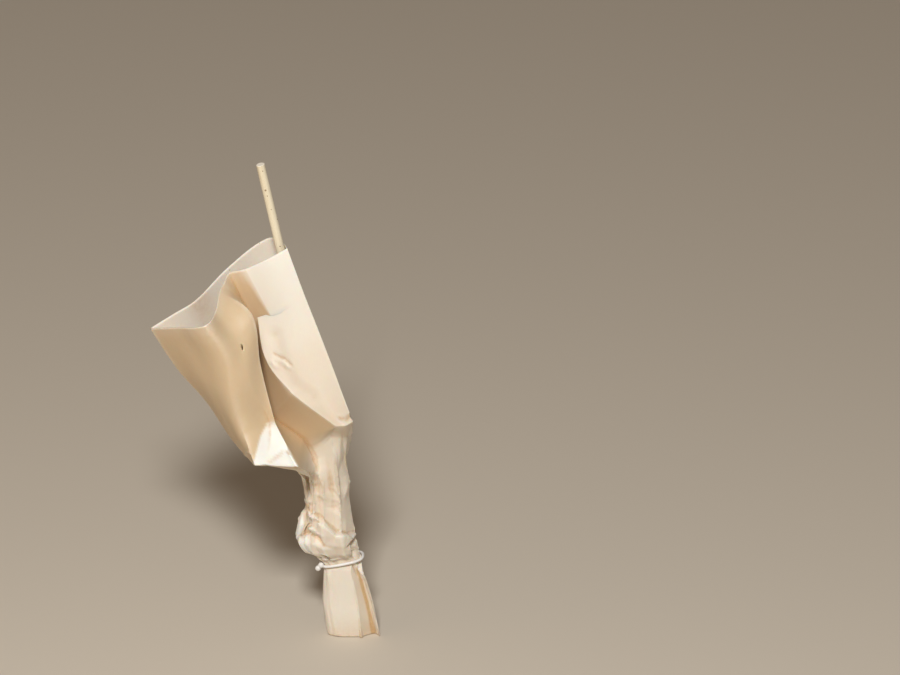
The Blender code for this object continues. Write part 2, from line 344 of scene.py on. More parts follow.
def grow(tree, sizes, shape, material):
    # runs the tree once and keeps what it makes as a plain mesh
    whole = shapeOf(tree, "RealizeInstances", {0: shape})
    coated = shapeOf(tree, "SetMaterial", {0: whole, "Material": material})
    addNode(tree, "NodeGroupOutput", {0: coated})
    carrier = addObject(tree.name, bpy.data.meshes.new(tree.name))
    growth = carrier.modifiers.new("growth", "NODES")
    growth.node_group = tree
    for item in tree.interface.items_tree:
        if item.in_out == "INPUT":
            growth[item.identifier] = sizes[item.name]
    bpy.context.view_layer.update()
    graph = bpy.context.evaluated_depsgraph_get()
    mesh = bpy.data.meshes.new_from_object(carrier.evaluated_get(graph))
    bpy.data.objects.remove(carrier)
    return mesh


cane = {
    "length": 407,      # mm, along the cane
    "lean": 11.8,         # degrees, to the left
    "footRadius": 3.7,
    "tipRadius": 3.3,
    "ringSpacing": 2.2,
    "sides": 40,
    "waviness": 0.35,     # how far its middle strays, mm
    "wavinessScale": 20,
    "straightFoot": 0.125,   # the part of its length over which the waviness sets in
    "roughness": 0.16,    # how far its skin strays, mm
    "ridgeScale": 260,
    "ridgeStretch": 0.12,
    "seed": 4,
    "cutBevel": 0.35,
    "bevelAngle": 60,
    "sharpAngle": 45,
    "scars": [((-79.4, -3.4, 378), 1), ((-68.6, -3.3, 331), 0.7), ((-78, -3.3, 373.3), 0.6),
              ((-81.4, -3.1, 394), 0.6), ((-70.4, -0.8, 352.7), 0.8), ((-75.2, -3.2, 362), 0.5)],
}
caneLean = math.radians(cane["lean"])


def caneMiddle(height):
    return np.array([-math.tan(caneLean) * height, 0, height])


def caneRadius(height):
    share = height / (cane["length"] * mm * math.cos(caneLean))
    return (cane["footRadius"] + (cane["tipRadius"] - cane["footRadius"]) * share) * mm


def buildCane(wood):
    sizes = {
        "Length": cane["length"] * mm,
        "Axis": (-math.sin(caneLean), 0, math.cos(caneLean)),
        "Foot Radius": cane["footRadius"] * mm,
        "Tip Radius": cane["tipRadius"] * mm,
        "Rings": round(cane["length"] / cane["ringSpacing"]),
        "Sides": cane["sides"],
        "Waviness": cane["waviness"] * mm,
        "Roughness": cane["roughness"] * mm,
        "Seed": cane["seed"],
    }
    tree, given = newGrowth("caneGrowth", sizes)
    place = shapeOf(tree, "InputPosition")
    tip = vectorMaths(tree, "SCALE", given["Axis"], given["Length"])
    line = shapeOf(tree, "CurvePrimitiveLine", {"End": tip})
    line = shapeOf(tree, "ResampleCurve", {"Curve": line, "Count": given["Rings"]})
    along = addNode(tree, "GeometryNodeSplineParameter").outputs["Factor"]
    stray = solidNoise(tree, place, given["Seed"], cane["wavinessScale"], 2)["Color"]
    stray = vectorMaths(tree, "SUBTRACT", stray, (0.5, 0.5, 0.5))
    settingIn = maths(tree, "MINIMUM", times(tree, along, 1 / cane["straightFoot"]), 1)
    stray = vectorMaths(tree, "SCALE", stray, times(tree, settingIn, given["Waviness"]))
    line = shapeOf(tree, "SetPosition", {0: line, "Offset": stray})
    taper = times(tree, maths(tree, "SUBTRACT", given["Tip Radius"], given["Foot Radius"]), along)
    circle = shapeOf(tree, "CurvePrimitiveCircle", {"Resolution": given["Sides"], "Radius": 1})
    skin = shapeOf(tree, "CurveToMesh", {"Curve": line, "Profile Curve": circle, "Fill Caps": True,
                                         "Scale": maths(tree, "ADD", given["Foot Radius"], taper)})
    # the skin's long shallow ridges, and the foot's ring slid along the cane to the ground
    stretched = vectorMaths(tree, "MULTIPLY", place, (1, 1, cane["ridgeStretch"]))
    ridges = solidNoise(tree, stretched, given["Seed"], cane["ridgeScale"], 3)["Fac"]
    ridges = times(tree, maths(tree, "SUBTRACT", ridges, 0.5), given["Roughness"])
    ridges = vectorMaths(tree, "SCALE", shapeOf(tree, "InputNormal"), ridges)
    skin = shapeOf(tree, "SetPosition", {0: skin, "Offset": ridges})
    isFoot = addNode(tree, "FunctionNodeCompare", {"A": shapeOf(tree, "InputIndex"), "B": given["Sides"]},
                     data_type="INT", operation="LESS_THAN")
    drop = maths(tree, "DIVIDE", partOf(tree, place, "Z"), partOf(tree, given["Axis"], "Z"))
    slide = vectorMaths(tree, "SCALE", given["Axis"], times(tree, drop, -1))
    skin = shapeOf(tree, "SetPosition", {0: skin, "Selection": isFoot.outputs[0], "Offset": slide})
    mesh = grow(tree, sizes, skin, wood)
    mesh.shade_smooth()
    mesh.set_sharp_from_angle(angle=math.radians(cane["sharpAngle"]))
    piece = linkPiece("bareCane", mesh)
    bevel = piece.modifiers.new("cutEdge", "BEVEL")
    bevel.width = cane["cutBevel"] * mm
    bevel.segments = 2
    bevel.limit_method = "ANGLE"
    bevel.angle_limit = math.radians(cane["bevelAngle"])
    finishPiece(piece, "cane")
    print("cane made:", len(mesh.polygons), "faces")


# The sleeve: one tube of coated board, folded, squeezed at the waist and tied.
# Each place is (right, towards the viewer, up) in mm from the foot of the cane.
sleeve = {
    "thickness": 0.6,
    "clearance": 0.9,
    "pouchSpacing": 1.8,     # mm between the mesh's rows down the sleeve
    "gatheredSpacing": 1.1,
    # mesh points from each fold to its panel's middle, and from there to the next fold
    "steps": {"leftCrease": 18, "lobeFront": 13, "lobeEdge": 11, "valley": 8, "panelEdge": 18,
              "rightCrease": 8, "backRight": 8, "backLeft": 8},
    "pouchFolds": {
        "leftCrease": [(-169, 8, 264), (-148, 8, 229), (-126, 10, 202), (-106, 14, 171), (-88, 20, 153),
                       (-64, 12, 150)],
        "lobeFront": [(-126, 60, 290), (-111, 57, 261), (-107, 56, 231), (-97, 56, 198), (-88, 72, 178),
                      (-62, 34, 158)],
        "lobeEdge": [(-115, 18, 300), (-90, 36, 289), (-83.5, 42, 249), (-72.5, 47, 202), (-54.5, 71, 176),
                     (-46, 44, 157)],
        "valley": [(-108, 0, 307), (-92, -3, 267), (-86, -3, 227), (-76, 2, 188), (-52, 12, 172),
                   (-44, 12, 158)],
        "panelEdge": [(-95, 3, 312), (-74, 9, 272), (-80, 16, 242), (-60, 28, 218), (-26, 36, 194),
                      (-30, 22, 178)],
        "rightCrease": [(-63, 9, 332), (-51, 14, 298), (-38, 20, 264), (-25, 26, 229), (-13, 32, 196),
                        (-17, 16, 176)],
        "backRight": [(-80, -33, 321), (-67, -34, 283), (-54, -31, 243), (-40, -26, 202), (-24, -20, 165),
                      (-20, -17, 150)],
        "backLeft": [(-134, 2, 285), (-120, -6, 249), (-103, -12, 211), (-83, -14, 173), (-62, -12, 146),
                     (-52, -12, 140)],
    },
    # how far the panel after each fold bows out at its middle, and the middles with a place of their own
    "bows": {"leftCrease": 1, "lobeFront": 3, "lobeEdge": 0, "valley": 0, "panelEdge": 3, "rightCrease": 5,
             "backRight": 5, "backLeft": 0},
    "middles": {
        ("leftCrease", 1): (-131, 37, 246), ("leftCrease", 2): (-119.5, 37, 218),
        ("leftCrease", 3): (-104, 38, 186), ("lobeFront", 0): (-118, 39.5, 292.5),
        ("lobeFront", 1): (-100, 48, 273.5), ("lobeFront", 2): (-93, 53, 240),
        ("lobeFront", 3): (-77, 44, 200), ("lobeFront", 4): (-79, 72, 178),
    },
    # how sharp each fold is at each row, from 0 (a round bend) to 1 (a crease)
    "creasing": {
        "leftCrease": (1, 1, 1, 1, 1, 1),
        "lobeFront": (0.3, 0, 0, 0.2, 1, 0.8),
        "lobeEdge": (0, 0.6, 1, 1, 1, 1),
        "valley": (0, 0.8, 1, 1, 1, 1),
        "panelEdge": (0, 0.2, 1, 1, 1, 1),
        "rightCrease": (1, 1, 1, 1, 1, 1),
        "backRight": (0, 0, 0.2, 0.5, 0.8, 0.8),
        "backLeft": (0, 0, 0.2, 0.5, 0.8, 0.8),
    },
    "middleCreasing": {("lobeFront", 3): 0.9, ("lobeFront", 4): 1},
    "rimSoftness": 0.4,      # how much of the first row keeps the rim's soft bends
    # how sharply each fold's own line bends at each row, on its way down
    "kinks": {
        "leftCrease": (0, 0, 0, 0, 0.6, 0.5),
        "lobeFront": (0, 0, 0, 0.3, 1, 0.5),
        "lobeEdge": (0, 0.1, 0, 0.8, 1, 0.5),
        "valley": (0, 0.3, 0, 0.5, 0.6, 0.5),
        "panelEdge": (0, 1, 0.3, 0.6, 1, 0.5),
        "rightCrease": (0, 0, 0, 0, 1, 0.5),
        "backRight": (0, 0, 0, 0, 0.4, 0.4),
        "backLeft": (0, 0, 0, 0, 0.4, 0.4),
    },
    # the dent in the right panel's edge: the edge jumps this far below the row, and comes back by the next
    "dent": {"row": 1, "jump": (-12.5, -6.5, 0.5), "reach": 20},
    # hoops of the gathered part: middle, half width and depth, how far the front and back panels and the
    # groove go in, and folds with a place of their own
    "gathered": {
        "underPouch": {"middle": (-36, 3, 138), "half": (20, 16), "inward": (4, 5, 4)},
        "waist": {"middle": (-34, 2, 118), "half": (19, 14.5), "inward": (3, 4, 3)},
        "bulgeTop": {"middle": (-34, 2, 102), "half": (20, 15), "inward": (2, 3, 2)},
        "bulge": {"middle": (-35, 3, 84.5), "half": (23.6, 16.4), "inward": (1.5, 3, 1)},
        "bulgeFoot": {"middle": (-32.5, 2, 75), "half": (21.5, 14), "inward": (2, 3, 1)},
        "aboveTie": {"middle": (-27.5, 0, 69.5), "half": (17, 10), "inward": (1, 2.5, 2)},
        "neck": {"middle": (-22.5, 0, 62.5), "half": (15, 8.5), "inward": (1, 2.5, 2)},
        "belowTie": {"middle": (-21.3, 0, 56.5), "half": (15.2, 9.2), "inward": (0, 2.5, 2.5),
                     "panelEdge": (-15.5, 9.2), "groove": (-10.2, 5.4), "rightCrease": (-6.4, 6.5)},
        "skirt": {"middle": (-18, 0, 27), "half": (19.5, 10), "inward": (0, 2.5, 4.5),
                  "panelEdge": (-10.2, 11), "groove": (-3, 4.6), "rightCrease": (1.6, 7.6)},
        "hem": {"middle": (-14, 0, 0.3), "half": (21, 11), "inward": (0, 2.5, 4.5),
                "panelEdge": (-7.9, 12), "groove": (2.2, 4.9), "rightCrease": (6.8, 8.8)},
    },
    "neckTilt": 0.21,        # the tie rises this much for each mm to the right
    # where each fold stands on the gathered hoops' ovals, in degrees from the right
    "foldAngles": {"leftCrease": 180, "lobeFront": 140, "lobeEdge": 115, "valley": 92, "panelEdge": 64,
                   "rightCrease": 0, "backRight": -60, "backLeft": -120},
    "grooveAngle": 40,
    "squareness": 2.8,
    "gatheredCreasing": 0.8,
    "gatheredKink": 0.5,
    "sharpAngle": 28,
}
foldNames = list(sleeve["pouchFolds"])
pouchRows = len(sleeve["pouchFolds"]["valley"])
halfPanelSteps = np.repeat([sleeve["steps"][name] for name in foldNames], 2).tolist()
columns = np.arange(sum(halfPanelSteps))     # the mesh's points round each row


def toWorld(place):
    right, forward, up = place
    return np.array([right, -forward, up]) * mm


def onOval(angle, width, depth):
    power = 2 / sleeve["squareness"]
    across = math.copysign(abs(math.cos(angle)) ** power, math.cos(angle))
    forward = math.copysign(abs(math.sin(angle)) ** power, math.sin(angle))
    return width * across, depth * forward


def pouchHoop(row):
    corners = [toWorld(sleeve["pouchFolds"][name][row]) for name in foldNames]
    hoop = []
    for index, name in enumerate(foldNames):
        here, after = corners[index], corners[(index + 1) % len(corners)]
        along = (after - here) / np.linalg.norm(after - here)
        outward = np.array([along[1], -along[0], 0])
        middle = (here + after) / 2 + outward * sleeve["bows"][name] * mm
        if (name, row) in sleeve["middles"]:
            middle = toWorld(sleeve["middles"][name, row])
        hoop += [here, middle]
    return hoop


def gatheredHoop(name):
    hoop = sleeve["gathered"][name]
    right, forward, up = hoop["middle"]
    width, depth = hoop["half"]
    front, back, groove = hoop["inward"]
    tilt = sleeve["neckTilt"] if name == "neck" else 0
    turns = sleeve["foldAngles"]
    points = []
    for index, fold in enumerate(foldNames):
        angle = turns[fold]
        after = turns[foldNames[(index + 1) % len(foldNames)]]
        halfway = (angle + (after - 360 if after > angle else after)) / 2
        inset = back if halfway < 0 else front
        middle = fold + "Middle"
        if fold == "panelEdge":
            middle, halfway, inset = "groove", sleeve["grooveAngle"], groove
        if fold == "rightCrease":
            inset = 0
        for label, turn, inward in ((fold, angle, 0), (middle, halfway, inset)):
            across, out = onOval(math.radians(turn), width - inward, depth - inward)
            place = hoop.get(label, (right + across, forward + out))
            points.append(toWorld((*place, up + tilt * across)))
    return points


def keepOffCane(point):
    middle = caneMiddle(point[2])
    away = point - middle
    wall = (sleeve["thickness"] + sleeve["clearance"]) * mm
    least = caneRadius(point[2]) / math.cos(caneLean) + wall
    distance = math.hypot(away[0], away[1])
    return point if distance >= least else middle + away * least / distance


def curveThrough(points, creasing, steps, closed):
    # a curve through the points, with a corner where the creasing is 1 and so many steps for each stretch
    count = len(points)
    curve = []
    for index in range(count if closed else count - 1):
        here, after = points[index], points[(index + 1) % count]
        before = points[index - 1] if closed or index > 0 else here
        beyond = points[(index + 2) % count] if closed or index + 2 < count else after
        straight = after - here
        sharpHere, sharpAfter = creasing[index], creasing[(index + 1) % count]
        leaving = (after - before) / 2 * (1 - sharpHere) + straight * sharpHere
        arriving = (beyond - here) / 2 * (1 - sharpAfter) + straight * sharpAfter
        reach = np.linalg.norm(straight)
        leaving = leaving * reach / max(np.linalg.norm(leaving), 1e-9)
        arriving = arriving * reach / max(np.linalg.norm(arriving), 1e-9)
        t = (np.arange(steps[index]) / steps[index])[:, None]
        curve.append(here * (2 * t**3 - 3 * t**2 + 1) + leaving * (t**3 - 2 * t**2 + t)
                     + after * (3 * t**2 - 2 * t**3) + arriving * (t**3 - t**2))
    if not closed:
        curve.append(points[-1][None, :])
    return np.concatenate(curve)


def sleeveNet():
    # the hoops from the mouth to the hem, and how sharply they bend around and down
    hoops, around, down = [], [], []
    for row in range(pouchRows):
        hoops.append(pouchHoop(row))
        kinks = [sleeve["kinks"][name][row] for name in foldNames]
        sharp = [(sleeve["creasing"][name][row], sleeve["middleCreasing"].get((name, row), 0))
                 for name in foldNames]
        around.append([value for pair in sharp for value in pair])
        lesser = map(min, kinks, kinks[1:] + kinks[:1])
        down.append([value for pair in zip(kinks, lesser) for value in pair])
    for name in sleeve["gathered"]:
        hoops.append(gatheredHoop(name))
        around.append([sleeve["gatheredCreasing"]] * 2 * len(foldNames))
        down.append([sleeve["gatheredKink"]] * 2 * len(foldNames))
    return np.array(hoops), np.array(around), np.array(down)


def sleeveGrid():
    # rows of points from the mouth to the hem, and the hoop number of each row
    hoops, around, down = sleeveNet()
    steps = []
    for level, (upper, lower) in enumerate(zip(hoops, hoops[1:])):
        spacing = sleeve["pouchSpacing"] if level < pouchRows - 1 else sleeve["gatheredSpacing"]
        steps.append(max(2, round(np.linalg.norm(upper - lower, axis=1).mean() / mm / spacing)))
    lines = np.array([curveThrough(hoops[:, line], down[:, line], steps, False)
                      for line in range(hoops.shape[1])])
    places = np.concatenate([low + np.arange(count) / count for low, count in enumerate(steps)]
                            + [[len(steps)]])
    rows = []
    for row, share in enumerate(places):
        low = min(int(share), len(hoops) - 2)
        part = share - low if low else min(1, share / sleeve["rimSoftness"])
        sharp = around[low] * (1 - part) + around[low + 1] * part
        if share > sleeve["dent"]["row"]:
            sharp[2 * foldNames.index("panelEdge")] = 1
        rows.append(curveThrough(lines[:, row], sharp, halfPanelSteps, True))
    return np.array(rows) + dentShift(places), places


def dentShift(places):
    # below the dent's row the panel's edge stands further left, less and less on the way to the next row
    dent = sleeve["dent"]
    below = places - dent["row"]
    down = np.where((below > 0) & (below < 1), 1 - below, 0)
    valley, edge = columnOf("valley"), columnOf("panelEdge")
    across = np.interp(columns, [valley, edge, edge + dent["reach"]], [0, 1, 0], left=0, right=0)
    return down[:, None, None] * across[None, :, None] * toWorld(dent["jump"])


def gridNormals(grid):
    around = np.roll(grid, -1, axis=1) - np.roll(grid, 1, axis=1)
    normals = np.cross(np.gradient(grid, axis=0), around)
    return normals / np.maximum(np.linalg.norm(normals, axis=2, keepdims=True), 1e-12)


def columnOf(fold):
    return sum(halfPanelSteps[:2 * foldNames.index(fold)])


def columnMask(first, last):
    # the columns from one fold to another, to the right
    start, end = columnOf(first), columnOf(last)
    after, before = columns >= start, columns <= end
    return after & before if end > start else after | before


def asSeen(grid):
    # each point as (right, up) in mm, as the camera sees it
    up = grid[..., 2] * math.cos(cameraRise) + grid[..., 1] * math.sin(cameraRise)
    return np.stack([grid[..., 0], up], axis=-1) / mm


def facing(normals):
    return normals @ np.array([0, -math.cos(cameraRise), math.sin(cameraRise)])


def onFacets(points, heights, joined, places):
    # the height at each place on flat facets that join the points, and 0 outside them
    made = delaunay_2d_cdt([Vector(point) for point in points], joined, [], 0, 1e-5)
    corners = np.array([tuple(corner) for corner in made[0]])
    values = [heights[origin[0]] if origin else 0 for origin in made[3]]
    x, y = places[..., 0], places[..., 1]
    result = np.zeros(x.shape)
    for face in made[2]:
        (ax, ay), (bx, by), (cx, cy) = corners[face]
        area = (bx - ax) * (cy - ay) - (cx - ax) * (by - ay)
        if abs(area) < 1e-9:
            continue
        second = ((x - ax) * (cy - ay) - (cx - ax) * (y - ay)) / area
        third = ((bx - ax) * (y - ay) - (x - ax) * (by - ay)) / area
        inside = (second >= -1e-6) & (third >= -1e-6) & (second + third <= 1 + 1e-6)
        height = values[face[0]] * (1 - second - third) + values[face[1]] * second + values[face[2]] * third
        result[inside] = height[inside]
    return result


# Crumpling where the board is gathered: flat facets between scattered points, coarse and fine.
crumple = {
    "seed": 11,
    "girth": 115,
    "rowHeight": 22,
    "scatter": 0.42,
    "layers": [{"spacing": 15, "height": 1}, {"spacing": 7, "height": 0.30}],
    # mm in and out at each gathered hoop, after the pouch's last two
    "reach": [0.2, 1.4, 3.6, 4.4, 4.2, 3.6, 2.6, 0.9, 0, 0.5, 0.8, 0.6],
    "outwardShare": 0.4,
    # the bulge's own facets take over from the scattered ones: how far, by hoops below the pouch
    "bulgeRows": ([0.5, 1.6, 5.3, 5.8], [0, 1, 1, 0]),
    "bulgeShare": 0.85,
    "bulgeFacing": 0.3,
}


def crumpled(places):
    # how far each grid point goes out, in mm
    random = np.random.default_rng(crumple["seed"])
    girth = crumple["girth"]
    down = (places - places[0]) * crumple["rowHeight"]
    spots = np.stack(np.meshgrid(columns / len(columns) * girth, down), axis=-1)
    total = np.zeros(spots.shape[:2])
    for layer in crumple["layers"]:
        spacing = layer["spacing"]
        across, deep = round(girth / spacing), round(down[-1] / spacing) + 3
        cells = np.stack(np.meshgrid(np.arange(across), np.arange(deep) - 1), axis=-1).reshape(-1, 2)
        scatter = random.uniform(-crumple["scatter"], crumple["scatter"], cells.shape)
        cells = (cells + scatter) * [girth / across, spacing]
        heights = random.uniform(-1, crumple["outwardShare"], len(cells)) * layer["height"]
        around = np.concatenate([cells - [girth, 0], cells, cells + [girth, 0]])
        total += onFacets(around, np.tile(heights, 3), [], spots)
    reach = np.interp(places - pouchRows + 2, np.arange(len(crumple["reach"])), crumple["reach"])
    reach *= places > pouchRows - 3
    return total * reach[:, None]


# The crushed bulge above the tie, as lines of (right, up, out) in mm as the camera sees them.
# The board is flat between the lines.
bulgeLines = {
    "lip": [(-47.7, 92.3, 2.6), (-40.8, 88.4, 4.2), (-33.1, 81.2, 4.8), (-26.9, 76.4, 4.6), (-18, 75.2, 3.6),
            (-15.2, 73, 2.5)],
    "behindLip": [(-47, 94.8, -1.6), (-38.9, 90.4, -1.6), (-31.2, 83.2, -1.8), (-25.8, 78.3, -1.8),
                  (-17.2, 77, -1.8)],
    "crevice": [(-48.5, 99.5, -2.5), (-49.8, 96.3, -4.5), (-50.2, 86.5, -5), (-48.7, 83.4, -4.4),
                (-52.2, 75.8, -1.5)],
    "leftFacet": [(-52.5, 92, 0.5), (-54, 84, 1), (-56.6, 76, 0.5)],
    "whiteFacetLeft": [(-56.8, 74, 1), (-55.5, 68, 1.5), (-46.5, 60, 0.5)],
    "whiteFacetRight": [(-50.8, 75, 2.8), (-45.7, 61.5, 1)],
    "flap": [(-49.2, 82, 1.5), (-42.6, 78.8, 2.2)],
    "underFlap": [(-46.8, 77.6, -1.6), (-40.4, 73.3, -2.4), (-36.2, 68.2, -0.5)],
    "underLip": [(-43.5, 82, 1.6), (-36.5, 75.5, 2.4)],
    "belly": [(-45.5, 70, 0.6), (-37, 65.5, 1.2), (-28.5, 66, 1.6), (-20, 66.5, 1.6),
              (-16.4, 66, 1.5)],
    "rightLine": [(-14.6, 71, -2.4), (-15, 65.4, -2.6), (-14.6, 60.5, -1.8)],
    "lug": [(-13, 67.5, 1.4), (-10.2, 64.6, 3), (-12.4, 59.6, 1.2)],
    "aboveTie": [(-37, 57.5, 2), (-28.5, 57.6, 2.2), (-16, 60.2, 2)],
    "edges": [(-62, 104, 0), (-20, 104, 0), (-8, 80, 0), (-8, 58, 0), (-34, 53.5, 0), (-44, 55, 0),
              (-62, 72, 0), (-12, 56.5, 0), (-28, 54.5, 0), (-38, 100, 0.5), (-26, 92, 0.3)],
}


def bulgeRelief(seen):
    points, heights, joined = [], [], []
    for name, line in bulgeLines.items():
        first = len(points)
        points += [place[:2] for place in line]
        heights += [place[2] for place in line]
        if name != "edges":
            joined += [(index, index + 1) for index in range(first, len(points) - 1)]
    return onFacets(points, heights, joined, seen)


# Creases pressed into the board, as lines of (right, up) in mm as the camera sees them. Each goes so far
# out or in (mm), is so wide to each side (mm), is soft or not, and stays between two folds.
creases = [
    ([(-73, 230), (-70, 218), (-66, 205), (-60, 193), (-44, 183)], -1.2, 9, True, "panelEdge", "rightCrease"),
    ([(-75.8, 210.8), (-72.3, 206.5)], 0.9, 2.4, False, "panelEdge", "rightCrease"),
    ([(-73.5, 216), (-69.6, 213.8), (-66.2, 212.7), (-60.8, 207.7)], -0.8, 2.2, False, "panelEdge",
     "rightCrease"),
    ([(-67, 210), (-62.5, 206)], 0.8, 2.4, False, "panelEdge", "rightCrease"),
    ([(-80, 130.8), (-72.3, 136.9), (-66.2, 141.5), (-61.5, 142)], -0.9, 5, True, "lobeFront", "lobeEdge"),
    ([(-62.3, 141.5), (-58.5, 135.4), (-56.2, 129.2)], -1, 3, True, "lobeFront", "lobeEdge"),
    ([(-97, 137.5), (-93, 140.6), (-88.5, 141.2)], 1, 2.2, False, "leftCrease", "lobeFront"),
    ([(-14.5, 168.5), (-18, 166), (-22.5, 166.5)], -1.6, 2.6, False, "panelEdge", "backRight"),
    ([(-6, 40), (-2.3, 30.8), (2.3, 0)], -1, 2.4, False, "panelEdge", "backRight"),
    ([(-33, 44), (-31, 20), (-27, -2)], 0.7, 2.4, False, "leftCrease", "panelEdge"),
    ([(-13.8, 52.3), (-10, 44.6)], -1.2, 1.8, False, "valley", "rightCrease"),
    ([(-12.3, 53.8), (-6.9, 45.4)], 1.2, 2, False, "valley", "backRight"),
]


def distanceToLine(places, line):
    nearest = np.full(places.shape[:-1], 1e9)
    for first, last in zip(np.array(line), np.array(line)[1:]):
        along = last - first
        share = np.clip((places - first) @ along / (along @ along), 0, 1)
        nearest = np.minimum(nearest, np.linalg.norm(places - first - share[..., None] * along, axis=-1))
    return nearest


def pressCreases(seen, normals):
    front = facing(normals) > 0.05
    total = np.zeros(seen.shape[:2])
    for line, out, width, soft, first, last in creases:
        rise = np.clip(1 - distanceToLine(seen, line) / width, 0, 1)
        if soft:
            rise = rise**2 * (3 - 2 * rise)
        total += rise * out * (front & columnMask(first, last))
    return total


# A short slit torn in the left lobe, (right, up) in mm as the camera sees it.
slit = {"place": (-98.5, 221.5), "rows": 3, "halfWidth": 0.75, "endShare": 0.12}


def tearSlit(grid, normals):
    # opens the two columns at the slit and gives the faces to leave out
    seen = asSeen(grid)
    away = np.linalg.norm(seen - np.array(slit["place"]), axis=-1)
    away[~(columnMask("leftCrease", "lobeEdge") & (facing(normals) > 0))] = 1e9
    row, column = np.unravel_index(np.argmin(away), away.shape)
    top = row - slit["rows"] // 2
    for step in range(slit["rows"] + 1):
        left, right = grid[top + step, column].copy(), grid[top + step, column + 1].copy()
        middle, across = (left + right) / 2, (right - left) / np.linalg.norm(right - left)
        opened = slit["halfWidth"] * mm * (slit["endShare"] if step in (0, slit["rows"]) else 1)
        grid[top + step, column] = middle - across * opened
        grid[top + step, column + 1] = middle + across * opened
    return [(top + step) * grid.shape[1] + column for step in range(slit["rows"])]


def bendOf(grid, normals, step=2):
    # how far each point stands out of its neighbours, in mm
    around = (np.roll(grid, step, axis=1) + np.roll(grid, -step, axis=1)) / 2 - grid
    padded = np.concatenate([grid[:1]] * step + [grid] + [grid[-1:]] * step)
    along = (padded[2 * step:] + padded[:-2 * step]) / 2 - grid
    along[:step] = 0
    along[-step:] = 0
    return -((around + along) * normals).sum(axis=-1) / mm


# Soil near the ground, wear on ridges, and painted shade in the hollows, folds and groove. The pairs are mm,
# from where it starts to where it is full.
wear = {
    "ridge": (0.20, 0.85),     # ridges standing out of the board are worn
    "pouchShare": 0.25,        # the pouch's soft folds wear less
    "rim": 0.8,
    "hollow": (0.18, 1.1),     # hollows are darkened with painted shade
    "hollowShare": 0.85,
    "deep": (1.9, 5.5),        # so are the gathered board's deep places
    "deepShare": 0.4,
    "soilHeight": 26,
    "soilShare": 0.6,
    "groove": ([6.5, 7.5], [0, 2]),     # painted shade in the skirt's groove, by hoops below the pouch
    "grooveColumns": 3,
    "shadedFolds": {"crevice": 2, "underFlap": 1.3},     # how wide the painted shade lies
    "foldShadeStrength": 1.4,
}

# Painted warm shade: how tan the board is painted where it lies in shade, by hoops below the mouth.
paintedShadeTanning = {
    "lobe": ([0, 0.3, 4, 4.6, 5], [0.75, 1, 1, 0.5, 0]),
    "lobeFade": ([0, 0.6, 1], [7, 4, 1]),    # mesh columns from full tan to the panel's edge
    "leftFoot": ([4, 5.2, 5.6], [0, 1, 0]),
    "lowPanel": ([1, 3.5, 5, 5.5], [0, 0.3, 0.3, 0]),
    "gathered": ([4, 6, 12.5, 13], [0, 0.2, 0.2, 0]),
    "skirt": ([12.3, 13], [0, 1]),
}
# and round the skirt, by mesh columns from the bottom of its groove
skirtShadeTan = ([-18, -17, -4.5, -2, 2, 4.5, 8, 9], [0, 0.3, 0.4, 1, 1, 0.4, 0.4, 0])


def ramp(value, limits):
    return np.clip((value - limits[0]) / (limits[1] - limits[0]), 0, 1)


def paintedShadeTanOf(places):
    # painted warm shade: the shaded left lobe and the valley beside it are painted tanner than the right
    # panel and the gathered board
    down = {name: np.interp(places, *share)[:, None] for name, share in paintedShadeTanning.items()}
    toPanel = columnOf("panelEdge") - columns
    fade = np.clip(np.where(toPanel >= 0, toPanel / down["lobeFade"], 1), 0, 1)
    inSkirt = np.interp(-toPanel - sleeve["steps"]["panelEdge"], *skirtShadeTan)
    return np.maximum.reduce([
        columnMask("leftCrease", "panelEdge") * down["lobe"] * fade,
        columnMask("leftCrease", "lobeFront") * down["leftFoot"],
        columnMask("panelEdge", "rightCrease") * down["lowPanel"],
        np.ones(len(columns)) * down["gathered"],
        inSkirt * down["skirt"],
    ])


# Painted light: facets painted nearly white where the light falls fully on them, the lobe's low one and those
# of the bulge and its lip:
# corners as (right, up) in mm as the camera sees them. The right panel is painted palest at the rim, where it
# is most lit.
paintedLitFacets = {
    "facets": [
        [(-78, 163), (-74, 163.8), (-66.9, 155.4), (-59.2, 150), (-56.2, 140.8), (-55, 130.5),
         (-89, 131.5), (-87.7, 134.6), (-83, 153)],
        [(-57.5, 74.6), (-50, 74.6), (-46.2, 61.5), (-57, 70.8)],
        [(-53, 91), (-52, 80.8), (-56.2, 75.4), (-58, 75.4)],
        [(-47.7, 90.8), (-38.5, 81.5), (-40, 77), (-47.7, 86.4)],
        [(-38.5, 81.5), (-26.9, 74.8), (-30.8, 71.5), (-40, 77)],
        [(-26.9, 74.8), (-16.2, 73.8), (-15, 70.8), (-16.5, 65.6), (-20, 69), (-30.8, 71.5)],
    ],
    "blur": 1.6,
    "panel": ([0, 2.4], [0.55, 0]),     # by hoops below the mouth
}


def paintedLightOf(seen, normals, places):
    pale = np.zeros(seen.shape[:2])
    for facet in paintedLitFacets["facets"]:
        within = onFacets(facet, [1] * len(facet), [], seen)
        nearby = np.clip(1 - distanceToLine(seen, facet + facet[:1]) / paintedLitFacets["blur"], 0, 1)
        pale = np.maximum.reduce([pale, within, nearby])
    pale *= (facing(normals) > 0) * columnMask("backLeft", "lobeEdge")
    panel = columnMask("panelEdge", "rightCrease") * np.interp(places, *paintedLitFacets["panel"])[:, None]
    return np.maximum(pale, panel)


def paintedFoldShade(seen, normals):
    # painted shade in the bulge's two deep folds
    foldShading = np.zeros(seen.shape[:2])
    for name, width in wear["shadedFolds"].items():
        away = distanceToLine(seen, [place[:2] for place in bulgeLines[name]])
        foldShading = np.maximum(foldShading, np.clip(wear["foldShadeStrength"] - away / width, 0, 1))
    return foldShading * (facing(normals) > 0)


